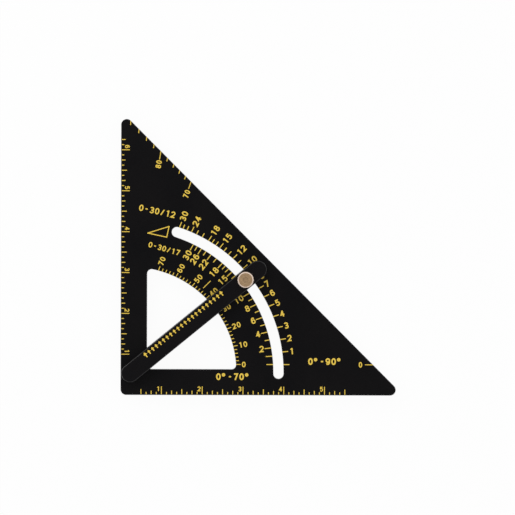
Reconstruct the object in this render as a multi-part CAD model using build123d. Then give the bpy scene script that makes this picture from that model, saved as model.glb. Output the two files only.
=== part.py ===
from build123d import *
import math
import os

# Adjustable speed square: a right-angled plate with a pair of arms that swing about one pivot.
# Lengths are in millimetres and angles in degrees.
# The pivot axis is Z. X runs along the seat edge, Y along the plumb edge, and the scales face +Z.
# The rear arm, which is the fence, rests on Z = 0.

# Plate
LEG_LENGTH = 171.45
PLATE_THICKNESS = 3.2
PLATE_CORNER_RADIUS = 3.5
PLATE_EDGE_BREAK = 0.35
PIVOT_FROM_PLUMB_EDGE = 6.3
PIVOT_FROM_SEAT_EDGE = 13.95

# Arc slot, set in from the hypotenuse by a band that carries the outer scale
HYPOTENUSE_BAND = 15.24
SLOT_START_ANGLE = -0.35
SLOT_END_ANGLE = 72.0

# Sector window, set in from the slot by a band that carries the inner scales
SCALE_BAND = 23.08
WINDOW_LEFT_WALL = 16.3
WINDOW_BOTTOM_WALL = 16.05
WINDOW_CORNER_RADIUS = 2.9

# Arms, set just short of the mark for a rise of 10 in 12
ARM_WIDTH = 11.2
ARM_THICKNESS = 4.8
ARM_BEYOND_CLAMP = 9.7
ARM_EDGE_ROUND = 0.7
ARM_INNER_BREAK = 0.2
ARM_ANGLE = 39.3

# Pivot
POST_DIAMETER = 6.0
POST_END_BREAK = 0.3
FRONT_ARM_SKIN = 1.6
PIVOT_SCREW_DIAMETER = 3.0
PIVOT_SCREW_HEAD_STEP = 1.3
PIVOT_SCREW_ENGAGEMENT = 4.4
PIVOT_SCREW_RECESS = 0.2
COUNTERSINK_ANGLE = 90.0
CROSS_WIDTH = 0.8
CROSS_LENGTH = 3.0
CROSS_DEPTH = 0.9
TAP_END_SPACE = 0.6

# Glide washers: a rim round the post, and a land on each side of the slot
PIVOT_WASHER_RIM = 1.95
SLOT_WASHER_LAND = 1.825
GLIDE_WASHER_THICKNESS = 0.4

# Clamp
SHANK_DIAMETER = 4.8
SHANK_TIP_RECESS = 0.6
SHANK_TIP_BREAK = 0.5
HEAD_DIAMETER = 10.0
HEAD_HEIGHT = 4.6
HEAD_TOP_BREAK = 1.2
HEAD_FOOT_BREAK = 0.4
KNURL_COUNT = 36
KNURL_DEPTH = 0.3
CLAMP_WASHER_INSET = 0.4
CLAMP_WASHER_THICKNESS = 0.6
BUSH_WALL = 0.65
BUSH_SHORTFALL = 0.2
INSERT_WALL = 0.8
INSERT_FLANGE_STEP = 0.6
INSERT_FLANGE_THICKNESS = 1.0
INSERT_RECESS = 0.2

# Fits: gaps on the radius, apart from the gap between flat faces
RUNNING_FIT = 0.05
PRESS_FIT = 0.01
THREAD_FIT = 0.05
BUSH_IN_SLOT_FIT = 0.075
CLEARANCE_FIT = 0.2
FACE_GAP = 0.05

# Diameters that follow from the post and the screws
POST_BORE = POST_DIAMETER + 2 * RUNNING_FIT
PIVOT_WASHER_DIAMETER = POST_BORE + 2 * PIVOT_WASHER_RIM
PIVOT_SCREW_HEAD_DIAMETER = PIVOT_SCREW_DIAMETER + 2 * PIVOT_SCREW_HEAD_STEP
CLAMP_WASHER_DIAMETER = HEAD_DIAMETER - 2 * CLAMP_WASHER_INSET
SHANK_HOLE_DIAMETER = SHANK_DIAMETER + 2 * CLEARANCE_FIT
BUSH_BORE = SHANK_DIAMETER + 2 * RUNNING_FIT
BUSH_DIAMETER = BUSH_BORE + 2 * BUSH_WALL
SLOT_WIDTH = BUSH_DIAMETER + 2 * BUSH_IN_SLOT_FIT
SLOT_WASHER_DIAMETER = SLOT_WIDTH + 2 * SLOT_WASHER_LAND
INSERT_BORE = SHANK_DIAMETER + 2 * THREAD_FIT
INSERT_BARREL_DIAMETER = INSERT_BORE + 2 * INSERT_WALL
INSERT_FLANGE_DIAMETER = INSERT_BARREL_DIAMETER + 2 * INSERT_FLANGE_STEP

# Radii about the pivot. Rounding a 45 degree tip takes root two of its radius off the sharp leg.
SHARP_LEG = LEG_LENGTH + math.sqrt(2) * PLATE_CORNER_RADIUS
HYPOTENUSE_RADIUS = (SHARP_LEG - PIVOT_FROM_PLUMB_EDGE - PIVOT_FROM_SEAT_EDGE) / math.sqrt(2)
SLOT_RADIUS = HYPOTENUSE_RADIUS - HYPOTENUSE_BAND - SLOT_WIDTH / 2
WINDOW_RADIUS = SLOT_RADIUS - SLOT_WIDTH / 2 - SCALE_BAND

# Levels of the stack, from the rear arm's outer face to the thumb screw's top
REAR_INNER_Z = ARM_THICKNESS
REAR_GLIDE_Z = REAR_INNER_Z + GLIDE_WASHER_THICKNESS
PLATE_BACK_Z = REAR_GLIDE_Z + FACE_GAP
PLATE_FACE_Z = PLATE_BACK_Z + PLATE_THICKNESS
FRONT_GLIDE_Z = PLATE_FACE_Z + FACE_GAP
FRONT_INNER_Z = FRONT_GLIDE_Z + GLIDE_WASHER_THICKNESS
FRONT_OUTER_Z = FRONT_INNER_Z + ARM_THICKNESS
POST_TOP_Z = FRONT_OUTER_Z - FRONT_ARM_SKIN
HEAD_FOOT_Z = FRONT_OUTER_Z + CLAMP_WASHER_THICKNESS
HEAD_TOP_Z = HEAD_FOOT_Z + HEAD_HEIGHT

UP = (Align.CENTER, Align.CENTER, Align.MIN)


def rod(diameter, bottom, top):
    """An upright cylinder about the Z axis between two levels."""
    return Pos(0, 0, bottom) * Cylinder(diameter / 2, top - bottom, align=UP)


def ring(outer, inner, bottom, top):
    """A flat washer or sleeve about the Z axis between two levels."""
    return rod(outer, bottom, top) - rod(inner, bottom, top)


def face_edges(solid, level):
    """The edges of a solid that lie flat at one level."""
    return solid.edges().filter_by_position(Axis.Z, level, level)


def at_clamp(solid):
    """Moves a piece from the Z axis to the clamp's place along the arm."""
    return Pos(SLOT_RADIUS, 0, 0) * solid


def at_setting(solid):
    """Swings a piece of the arm from the X axis to the angle that is set."""
    return Rot(0, 0, ARM_ANGLE) * solid


# Plate

def plate_outline():
    """The right-angled triangle with its three rounded corners."""
    corner = Vector(-PIVOT_FROM_PLUMB_EDGE, -PIVOT_FROM_SEAT_EDGE)
    right_tip = corner + Vector(SHARP_LEG, 0)
    top_tip = corner + Vector(0, SHARP_LEG)
    triangle = make_face(Polyline(corner, right_tip, top_tip, close=True))
    return fillet(triangle.vertices(), PLATE_CORNER_RADIUS)


def window_outline():
    """The sector round the pivot, cut by two straight walls and rounded at its corners."""
    left = WINDOW_LEFT_WALL - PIVOT_FROM_PLUMB_EDGE
    bottom = WINDOW_BOTTOM_WALL - PIVOT_FROM_SEAT_EDGE
    quarter = Rectangle(WINDOW_RADIUS, WINDOW_RADIUS, align=(Align.MIN, Align.MIN))
    sector = Circle(WINDOW_RADIUS) & (Pos(left, bottom) * quarter)
    return fillet(sector.vertices(), WINDOW_CORNER_RADIUS)


def slot_outline():
    """The arc slot that the clamp travels in, concentric with the pivot."""
    sweep = SLOT_END_ANGLE - SLOT_START_ANGLE
    return SlotArc(CenterArc((0, 0), SLOT_RADIUS, SLOT_START_ANGLE, sweep), SLOT_WIDTH)


def square_plate():
    """The plate, with every rim eased and the bore that runs on the pivot post."""
    outline = plate_outline() - window_outline() - slot_outline()
    plate = Pos(0, 0, PLATE_BACK_Z) * extrude(outline, PLATE_THICKNESS)
    rims = face_edges(plate, PLATE_BACK_Z) + face_edges(plate, PLATE_FACE_Z)
    plate = chamfer(rims, PLATE_EDGE_BREAK)
    return plate - rod(POST_BORE, PLATE_BACK_Z, PLATE_FACE_Z)


# Arms

def arm_blank(inner, outer):
    """A bar with round ends, rounded along its outer face and eased along its inner one."""
    reach = SLOT_RADIUS + ARM_BEYOND_CLAMP
    outline = SlotCenterToCenter(reach, ARM_WIDTH)
    bar = Pos(reach / 2, 0, min(inner, outer)) * extrude(outline, ARM_THICKNESS)
    bar = fillet(face_edges(bar, outer), ARM_EDGE_ROUND)
    return chamfer(face_edges(bar, inner), ARM_INNER_BREAK)


def front_arm():
    """The arm over the scales, with a blind seat for the post, so its face shows no fastener."""
    post_seat = rod(POST_DIAMETER + 2 * PRESS_FIT, FRONT_INNER_Z, POST_TOP_Z)
    shank_hole = at_clamp(rod(SHANK_HOLE_DIAMETER, FRONT_INNER_Z, FRONT_OUTER_Z))
    return arm_blank(FRONT_INNER_Z, FRONT_OUTER_Z) - post_seat - shank_hole


def rear_arm():
    """The fence behind the plate, with the seats of the pivot screw and the threaded insert."""
    screw_head = PIVOT_SCREW_HEAD_DIAMETER + 2 * PRESS_FIT
    screw_shank = PIVOT_SCREW_DIAMETER + 2 * CLEARANCE_FIT
    screw_seat = countersunk(screw_head, screw_shank, REAR_INNER_Z)
    screw_seat += rod(screw_head, 0, PIVOT_SCREW_RECESS)
    insert_seat = at_clamp(flanged_barrel(PRESS_FIT, 0))
    return arm_blank(REAR_INNER_Z, 0) - screw_seat - insert_seat


# Pivot

def countersunk(head, shank, top):
    """A countersunk head, sunk by its recess, with its shank up to a level."""
    cone_height = (head - shank) / 2 / math.tan(math.radians(COUNTERSINK_ANGLE / 2))
    cone = Cone(head / 2, shank / 2, cone_height, align=UP)
    return Pos(0, 0, PIVOT_SCREW_RECESS) * cone + rod(shank, PIVOT_SCREW_RECESS, top)


def pivot_post():
    """The post that both arms turn on, tapped from behind, which also spaces the arms."""
    post = rod(POST_DIAMETER, REAR_INNER_Z, POST_TOP_Z)
    post = chamfer(face_edges(post, POST_TOP_Z), POST_END_BREAK)
    tap_end = REAR_INNER_Z + PIVOT_SCREW_ENGAGEMENT + TAP_END_SPACE
    return post - rod(PIVOT_SCREW_DIAMETER + 2 * THREAD_FIT, REAR_INNER_Z, tap_end)


def pivot_screw():
    """The countersunk screw that holds the rear arm against the post, with a cross recess."""
    tip = REAR_INNER_Z + PIVOT_SCREW_ENGAGEMENT
    screw = countersunk(PIVOT_SCREW_HEAD_DIAMETER, PIVOT_SCREW_DIAMETER, tip)
    blade = Pos(0, 0, PIVOT_SCREW_RECESS) * Box(CROSS_LENGTH, CROSS_WIDTH, CROSS_DEPTH, align=UP)
    return screw - blade - Rot(0, 0, 90) * blade


def pivot_washer(bottom):
    """A thin washer round the post that keeps an arm off the plate's finish."""
    return ring(PIVOT_WASHER_DIAMETER, POST_BORE, bottom, bottom + GLIDE_WASHER_THICKNESS)


# Clamp

def flanged_barrel(gap, foot):
    """The threaded insert's flange and barrel, or the seat for them with a gap round it."""
    shoulder = INSERT_RECESS + INSERT_FLANGE_THICKNESS
    flange = rod(INSERT_FLANGE_DIAMETER + 2 * gap, foot, shoulder)
    return flange + rod(INSERT_BARREL_DIAMETER + 2 * gap, shoulder, REAR_INNER_Z)


def clamp_insert():
    """The insert that the thumb screw pulls on, flanged on the side away from the pull."""
    return flanged_barrel(0, INSERT_RECESS) - rod(INSERT_BORE, INSERT_RECESS, REAR_INNER_Z)


def slot_washer(bottom):
    """A thin washer that bears on the plate on both sides of the slot."""
    top = bottom + GLIDE_WASHER_THICKNESS
    return ring(SLOT_WASHER_DIAMETER, SHANK_HOLE_DIAMETER, bottom, top)


def slot_bush():
    """The bush that runs in the slot, shorter than the plate is thick so that the arms can grip."""
    length = PLATE_THICKNESS - BUSH_SHORTFALL
    return ring(BUSH_DIAMETER, BUSH_BORE, REAR_GLIDE_Z, REAR_GLIDE_Z + length)


def clamp_washer():
    """The flat washer under the thumb screw's head."""
    return ring(CLAMP_WASHER_DIAMETER, SHANK_HOLE_DIAMETER, FRONT_OUTER_Z, HEAD_FOOT_Z)


def thumb_screw():
    """A turned head with a knurled rim, on a plain shank in place of its thread."""
    head = rod(HEAD_DIAMETER, HEAD_FOOT_Z, HEAD_TOP_Z)
    head = chamfer(face_edges(head, HEAD_TOP_Z), HEAD_TOP_BREAK)
    head = chamfer(face_edges(head, HEAD_FOOT_Z), HEAD_FOOT_BREAK)
    # A square bar stood on its corner cuts one groove of the knurl.
    side = math.sqrt(2) * KNURL_DEPTH
    groove = Pos(0, 0, HEAD_FOOT_Z) * Rot(0, 0, 45) * Box(side, side, HEAD_HEIGHT, align=UP)
    head -= [place * groove for place in PolarLocations(HEAD_DIAMETER / 2, KNURL_COUNT)]
    shank = rod(SHANK_DIAMETER, SHANK_TIP_RECESS, HEAD_FOOT_Z)
    return head + chamfer(face_edges(shank, SHANK_TIP_RECESS), SHANK_TIP_BREAK)


at_pivot_pieces = {
    "front_arm": front_arm(),
    "rear_arm": rear_arm(),
    "pivot_post": pivot_post(),
    "pivot_screw": pivot_screw(),
    "front_pivot_washer": pivot_washer(FRONT_GLIDE_Z),
    "rear_pivot_washer": pivot_washer(REAR_INNER_Z),
}
at_clamp_pieces = {
    "slot_bush": slot_bush(),
    "front_slot_washer": slot_washer(FRONT_GLIDE_Z),
    "rear_slot_washer": slot_washer(REAR_INNER_Z),
    "clamp_insert": clamp_insert(),
    "clamp_washer": clamp_washer(),
    "thumb_screw": thumb_screw(),
}

pieces = {"square_plate": square_plate()}
for name, piece in at_pivot_pieces.items():
    pieces[name] = at_setting(piece)
for name, piece in at_clamp_pieces.items():
    pieces[name] = at_setting(at_clamp(piece))

os.makedirs("parts", exist_ok=True)
for name, piece in pieces.items():
    export_step(piece, f"parts/{name}.step")
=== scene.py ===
"""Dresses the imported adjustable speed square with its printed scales, finishes, studio and camera.

Lengths are in metres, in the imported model's own frame: the pivot is the Z axis, X runs along the seat
edge, Y along the plumb edge, and the printed face looks up.
"""
import logging
import math
from abc import ABC, abstractmethod
from dataclasses import dataclass, field
from enum import Enum
from functools import cache, cached_property, reduce
from typing import Callable, Iterable, Sequence

import bmesh
import bpy
from mathutils import Matrix, Vector
from mathutils.geometry import delaunay_2d_cdt


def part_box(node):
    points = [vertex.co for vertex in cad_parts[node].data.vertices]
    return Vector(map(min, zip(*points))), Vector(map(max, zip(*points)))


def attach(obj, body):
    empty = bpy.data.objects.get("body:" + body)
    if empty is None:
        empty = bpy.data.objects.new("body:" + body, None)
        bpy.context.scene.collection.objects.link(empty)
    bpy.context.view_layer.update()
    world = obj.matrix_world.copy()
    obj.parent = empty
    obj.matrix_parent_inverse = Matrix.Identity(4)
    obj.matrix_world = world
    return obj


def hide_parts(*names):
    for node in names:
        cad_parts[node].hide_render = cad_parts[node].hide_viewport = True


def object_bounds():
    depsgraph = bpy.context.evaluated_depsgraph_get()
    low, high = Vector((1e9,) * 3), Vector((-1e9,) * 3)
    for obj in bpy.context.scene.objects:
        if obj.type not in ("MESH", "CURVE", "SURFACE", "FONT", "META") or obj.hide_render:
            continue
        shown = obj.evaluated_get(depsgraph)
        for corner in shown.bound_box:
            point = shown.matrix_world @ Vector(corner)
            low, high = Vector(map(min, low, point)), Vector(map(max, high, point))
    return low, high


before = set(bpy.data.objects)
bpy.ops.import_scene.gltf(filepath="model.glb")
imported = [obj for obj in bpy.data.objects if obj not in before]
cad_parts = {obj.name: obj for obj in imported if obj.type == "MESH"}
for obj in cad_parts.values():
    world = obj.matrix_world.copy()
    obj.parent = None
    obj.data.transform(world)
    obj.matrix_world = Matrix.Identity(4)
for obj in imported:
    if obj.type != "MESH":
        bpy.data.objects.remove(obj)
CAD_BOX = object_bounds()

LOG = logging.getLogger("speed_square")

MM = 0.001
INCH = 25.4 * MM
EIGHTHS = 8
FULL_TURN = 2 * math.pi
QUARTER_TURN = math.pi / 2
EIGHTH_TURN = math.pi / 4
HALF_TURN_DEGREES = 180.0
ROOT_TWO = math.sqrt(2)
PATTERN_MIDDLE = 0.5

Colour = tuple[float, float, float]
Axes = tuple[float, float, float]
Span = tuple[float, float]
Point = tuple[float, float]
Path = list[Vector]
Polygon = list[Vector]
Ring = list[bmesh.types.BMVert]
Pieces = list[bpy.types.Object]

WHITE: Colour = (1.0, 1.0, 1.0)


class Body(Enum):
    """The bodies that the printed marks and the screw ride on."""

    SQUARE = "square"
    ARM = "arm"
    THUMB_SCREW = "thumb_screw"


@cache
def box(node: str) -> tuple[Vector, Vector]:
    """A node's lowest and highest corner at rest, measured once."""
    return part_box(node)


def axis_of(node: str) -> Vector:
    """Finds the upright axis of a round node.

    Args:
        node: The node's name.

    Returns:
        The point of the axis at the node's foot.
    """
    low, high = box(node)
    return Vector(((low.x + high.x) / 2, (low.y + high.y) / 2, low.z))


def clamp(number: float) -> float:
    """Keeps a number between 0 and 1."""
    return min(1.0, max(0.0, number))


def zigzag(turns: float) -> float:
    """A wave that is 1 at each whole turn and 0 halfway between."""
    return abs(turns % 1.0 * 2 - 1)


def set_out(name: str, data: bpy.types.ID) -> bpy.types.Object:
    """Puts a mesh, a lamp or a camera into the scene.

    Args:
        name: The new object's name.
        data: What it shows.

    Returns:
        The object, at the origin.
    """
    made = bpy.data.objects.new(name, data)
    bpy.context.scene.collection.objects.link(made)
    return made


# Shader maths


class Ray(Enum):
    """The rays that look at the background, apart from those that light the tool."""

    CAMERA = "Is Camera Ray"
    GLOSSY = "Is Glossy Ray"
    TRANSMISSION = "Is Transmission Ray"


@dataclass(frozen=True)
class Pattern:
    """A random pattern of a finish.

    Attributes:
        scale: Cells or rings per metre.
        detail: How many finer layers are added.
        span: The part of its range over which its own colour comes in.
        share: How strongly it shows in the colour or the relief.
        gloss: How far it swings the roughness.
    """

    scale: float
    detail: float = 2.0
    span: Span = (0.0, 1.0)
    share: float = 1.0
    gloss: float = 0.0


class Value:
    """A shader socket that takes part in Python arithmetic by adding Math nodes."""

    def __init__(self, shader: "Shader", socket: bpy.types.NodeSocket) -> None:
        """Wraps one output socket of a shader's node tree."""
        self.shader = shader
        self.socket = socket

    def math(self, operation: str, *others: "Value | float", swap: bool = False) -> "Value":
        """Adds one Math node.

        Args:
            operation: The Math node's operation.
            others: The remaining operands, which are values or plain numbers.
            swap: True where this value comes after the others.

        Returns:
            The node's result.
        """
        operands = (*others, self) if swap else (self, *others)
        node = self.shader.node("ShaderNodeMath", {"operation": operation}, dict(enumerate(operands)))
        return Value(self.shader, node.outputs[0])

    def __add__(self, other: "Value | float") -> "Value":
        """Adds a value or a number."""
        return self.math("ADD", other)

    def __sub__(self, other: "Value | float") -> "Value":
        """Takes a value or a number away."""
        return self.math("SUBTRACT", other)

    def __rsub__(self, other: float) -> "Value":
        """Takes this value away from a number."""
        return self.math("SUBTRACT", other, swap=True)

    def __mul__(self, other: "Value | float") -> "Value":
        """Multiplies by a value or a number."""
        return self.math("MULTIPLY", other)

    def __pow__(self, other: "Value | float") -> "Value":
        """Raises to a power."""
        return self.math("POWER", other)

    def __rpow__(self, other: float) -> "Value":
        """Raises a number to this value."""
        return self.math("POWER", other, swap=True)

    __radd__ = __add__
    __rmul__ = __mul__

    def __abs__(self) -> "Value":
        """The value without its sign."""
        return self.math("ABSOLUTE")

    def step(self, low: float, high: float) -> "Value":
        """Rises smoothly from 0 to 1.

        Args:
            low: Where the rise starts.
            high: Where it ends.

        Returns:
            The eased value.
        """
        node = self.shader.node(
            "ShaderNodeMapRange",
            {"interpolation_type": "SMOOTHSTEP"},
            {"Value": self, "From Min": low, "From Max": high},
        )
        return Value(self.shader, node.outputs[0])

    def between(self, low: "Value | float", high: "Value | float") -> "Value":
        """Runs from one value at 0 to another at 1."""
        return low + self * (high - low)

    def tint(self, pattern: Pattern) -> "Value":
        """How much colour a pattern brings, read from this value of it."""
        return self.step(*pattern.span) * pattern.share

    def sway(self, pattern: Pattern) -> "Value":
        """How far a pattern moves the roughness, read from this value of it."""
        return (self - PATTERN_MIDDLE) * pattern.gloss


class Shader:
    """Builds the node tree of one material or of the world."""

    def __init__(self, owner: bpy.types.Material | bpy.types.World) -> None:
        """Starts an empty node tree.

        Args:
            owner: The material or world that it belongs to.
        """
        owner.use_nodes = True
        self.tree = owner.node_tree
        self.tree.nodes.clear()

    def node(
        self,
        kind: str,
        settings: dict[str, object] | None = None,
        inputs: dict[str | int, object] | None = None,
    ) -> bpy.types.Node:
        """Adds one node.

        Args:
            kind: The node's type.
            settings: The node's own properties, which are set first.
            inputs: Numbers, colours, values or sockets by the input's identifier, name or place.

        Returns:
            The new node.
        """
        made = self.tree.nodes.new(kind)
        for name, setting in (settings or {}).items():
            setattr(made, name, setting)
        by_identifier = {socket.identifier: socket for socket in made.inputs}
        for key, given in (inputs or {}).items():
            socket = by_identifier.get(key) or made.inputs[key]
            source = given.socket if isinstance(given, Value) else given
            if isinstance(source, bpy.types.NodeSocket):
                self.tree.links.new(source, socket)
            elif isinstance(source, tuple) and len(source) < len(socket.default_value):
                socket.default_value = (*source, 1.0)
            else:
                socket.default_value = source
        return made

    def value(self, node: bpy.types.Node, output: str | int = 0) -> Value:
        """Wraps one output of a node."""
        return Value(self, node.outputs[output])

    def place(
        self, origin: Sequence[float] = (0, 0, 0), turn: float = 0.0, stretch: Axes = (1, 1, 1)
    ) -> Value:
        """Gives points on the piece itself, moved, turned about Z and stretched.

        Args:
            origin: The point that becomes zero.
            turn: The angle of the new X axis from the old one.
            stretch: The scale along each new axis.

        Returns:
            The coordinates.
        """
        here = self.node("ShaderNodeTexCoord").outputs["Object"]
        moved = self.node("ShaderNodeVectorMath", {"operation": "SUBTRACT"}, {0: here, 1: tuple(origin)})
        mapped = self.node(
            "ShaderNodeMapping",
            {"vector_type": "POINT"},
            {"Vector": moved.outputs[0], "Rotation": (0.0, 0.0, -turn)},
        )
        factors = {0: mapped.outputs[0], 1: stretch}
        return self.value(self.node("ShaderNodeVectorMath", {"operation": "MULTIPLY"}, factors))

    def noise(self, where: Value, pattern: Pattern) -> Value:
        """Reads a soft random pattern.

        Args:
            where: The coordinates.
            pattern: The pattern's scale and detail.

        Returns:
            A value from 0 to 1.
        """
        inputs = {"Vector": where, "Scale": pattern.scale, "Detail": pattern.detail}
        return self.value(self.node("ShaderNodeTexNoise", {}, inputs))

    def rings(self, where: Value, pattern: Pattern) -> Value:
        """Reads random rings about the Z axis.

        Args:
            where: The coordinates, with the axis at zero.
            pattern: The rings' scale and detail.

        Returns:
            A value from 0 to 1.
        """
        axes = self.node("ShaderNodeSeparateXYZ", {}, {0: where})
        across, along = self.value(axes, 0), self.value(axes, 1)
        radius = (across * across + along * along) ** 0.5
        inputs = {"W": radius, "Scale": pattern.scale, "Detail": pattern.detail}
        return self.value(self.node("ShaderNodeTexNoise", {"noise_dimensions": "1D"}, inputs))

    def level(self) -> Value:
        """Tells how level the surface is: 1 on a flat face and 0 on an upright wall."""
        normal = self.node("ShaderNodeNewGeometry").outputs["Normal"]
        return abs(self.value(self.node("ShaderNodeSeparateXYZ", {}, {0: normal}), 2))

    def leaning(self, rise: Span, fall: Span) -> Value:
        """Picks out the faces that lean, such as rounds and chamfers.

        Args:
            rise: The levels over which the mask comes in.
            fall: The levels over which it goes out again.

        Returns:
            The mask, from 0 to 1.
        """
        level = self.level()
        return level.step(*rise) * (1 - level.step(*fall))

    def rays(self, *kinds: Ray) -> Value:
        """Picks out some kinds of ray.

        Args:
            kinds: The kinds, any of which counts.

        Returns:
            1 for those rays and 0 for all others.
        """
        path = self.node("ShaderNodeLightPath")
        found = [self.value(path, kind.value) for kind in kinds]
        return reduce(lambda one, other: one.math("MAXIMUM", other), found)

    def mix(self, share: Value, first: Colour | Value, second: Colour | Value) -> Value:
        """Blends two colours.

        Args:
            share: How much of the second shows.
            first: The colour at 0.
            second: The colour at 1.

        Returns:
            The blended colour.
        """
        inputs = {"Factor_Float": share, "A_Color": first, "B_Color": second}
        node = self.node("ShaderNodeMix", {"data_type": "RGBA"}, inputs)
        return Value(self, next(socket for socket in node.outputs if socket.identifier == "Result_Color"))

    def bump(self, height: Value, depth: float, strength: float) -> Value:
        """Turns a height into a normal.

        Args:
            height: The height, from 0 to 1.
            depth: The height of 1, in metres.
            strength: How strongly the relief shows.

        Returns:
            The normal.
        """
        inputs = {"Height": height, "Distance": depth, "Strength": strength}
        return self.value(self.node("ShaderNodeBump", {}, inputs))

    def principled(self, **inputs: object) -> bpy.types.Node:
        """Adds a Principled surface.

        Args:
            inputs: The surface's inputs, named with underscores.

        Returns:
            The node.
        """
        sockets = {name.replace("_", " "): given for name, given in inputs.items()}
        return self.node("ShaderNodeBsdfPrincipled", {}, sockets)

    def blend(self, share: object, first: bpy.types.Node, second: bpy.types.Node) -> bpy.types.Node:
        """Mixes two surfaces by a factor."""
        return self.node("ShaderNodeMixShader", {}, {0: share, 1: first.outputs[0], 2: second.outputs[0]})

    def output(self, node: bpy.types.Node, kind: str = "ShaderNodeOutputMaterial") -> None:
        """Ends the tree with a node's first output."""
        self.node(kind, {}, {"Surface": node.outputs[0]})


# Finishes


@dataclass(frozen=True)
class Finish(ABC):
    """A surface finish, which becomes one material when it is first used."""

    name: str

    @cached_property
    def material(self) -> bpy.types.Material:
        """Makes the finish.

        Returns:
            Its Blender material.
        """
        material = bpy.data.materials.new(self.name)
        self.paint(Shader(material))
        return material

    @abstractmethod
    def paint(self, shader: Shader) -> None:
        """Fills an empty node tree."""

    def cover(self, *nodes: str) -> Pieces:
        """Puts the finish on nodes of the frame.

        Args:
            nodes: The nodes' names.

        Returns:
            The nodes' objects.
        """
        pieces = [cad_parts[name] for name in nodes]
        for piece in pieces:
            for slot in piece.material_slots:
                slot.material = self.material
        return pieces


@dataclass(frozen=True)
class BlackAnodise(Finish):
    """Black anodised aluminium: satin, finely grained, and rubbed a little at its eased edges."""

    grain_angle: float = 0.0
    cool: Colour = (0.0020, 0.0016, 0.0026)
    warm: Colour = (0.0036, 0.0027, 0.0033)
    rubbed: Colour = (0.060, 0.058, 0.057)
    roughness: float = 0.36
    wall_roughness: float = 0.2
    shine: float = 0.3
    grain: Pattern = Pattern(5200.0, detail=4.0, gloss=0.32)
    grain_stretch: Axes = (0.06, 1.0, 1.0)
    pores: Pattern = Pattern(3800.0, share=0.4)
    cloud: Pattern = Pattern(26.0, detail=4.0, span=(0.3, 0.72), gloss=0.08)
    wear: Pattern = Pattern(210.0, detail=5.0, span=(0.46, 0.74), share=0.75, gloss=0.06)
    edge_rise: Span = (0.12, 0.45)
    edge_fall: Span = (0.88, 0.985)
    wall_span: Span = (0.1, 0.6)
    relief_depth: float = 0.018 * MM
    relief_strength: float = 0.9

    def paint(self, shader: Shader) -> None:
        """Fills an empty node tree.

        Args:
            shader: The tree.
        """
        here = shader.place()
        brushed = shader.place(turn=self.grain_angle, stretch=self.grain_stretch)
        grain = shader.noise(brushed, self.grain)
        cloud = shader.noise(here, self.cloud)
        pores = shader.noise(here, self.pores)
        worn = shader.noise(here, self.wear).step(*self.wear.span)
        rub = shader.leaning(self.edge_rise, self.edge_fall) * worn
        base = shader.mix(cloud.step(*self.cloud.span), self.cool, self.warm)
        satin = shader.level().step(*self.wall_span).between(self.wall_roughness, self.roughness)
        relief = grain * (1 - self.pores.share) + pores * self.pores.share
        surface = shader.principled(
            Base_Color=shader.mix(rub * self.wear.share, base, self.rubbed),
            Roughness=satin + grain.sway(self.grain) + cloud.sway(self.cloud) - rub * self.wear.gloss,
            Specular_IOR_Level=self.shine,
            Normal=shader.bump(relief, self.relief_depth, self.relief_strength),
        )
        shader.output(surface)


@dataclass(frozen=True)
class SatinBar(BlackAnodise):
    """The arms' smoother anodise, brushed along the bar and rubbed less at its rounded edges."""

    cool: Colour = (0.0031, 0.0026, 0.0039)
    warm: Colour = (0.0049, 0.0039, 0.0046)
    rubbed: Colour = (0.028, 0.027, 0.027)
    roughness: float = 0.3
    wall_roughness: float = 0.1
    shine: float = 0.34


@dataclass(frozen=True)
class PrintedInk(Finish):
    """Opaque screen ink, a little uneven where the mesh laid it down."""

    name: str = "yellow_scale_ink"
    full: Colour = (0.85, 0.595, 0.073)
    thin: Colour = (0.65, 0.43, 0.05)
    roughness: float = 0.46
    shine: float = 0.4
    patches: Pattern = Pattern(420.0, detail=3.0, span=(0.5, 0.8), share=0.55)
    screen: Pattern = Pattern(5600.0, span=(0.6, 0.8), share=0.3, gloss=0.18)
    relief_depth: float = 0.008 * MM
    relief_strength: float = 0.4

    def paint(self, shader: Shader) -> None:
        """Fills an empty node tree.

        Args:
            shader: The tree.
        """
        here = shader.place()
        screen = shader.noise(here, self.screen)
        thin = shader.noise(here, self.patches).tint(self.patches) + screen.tint(self.screen)
        surface = shader.principled(
            Base_Color=shader.mix(thin, self.full, self.thin),
            Roughness=self.roughness + screen.sway(self.screen),
            Specular_IOR_Level=self.shine,
            Normal=shader.bump(screen, self.relief_depth, self.relief_strength),
        )
        shader.output(surface)


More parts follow.
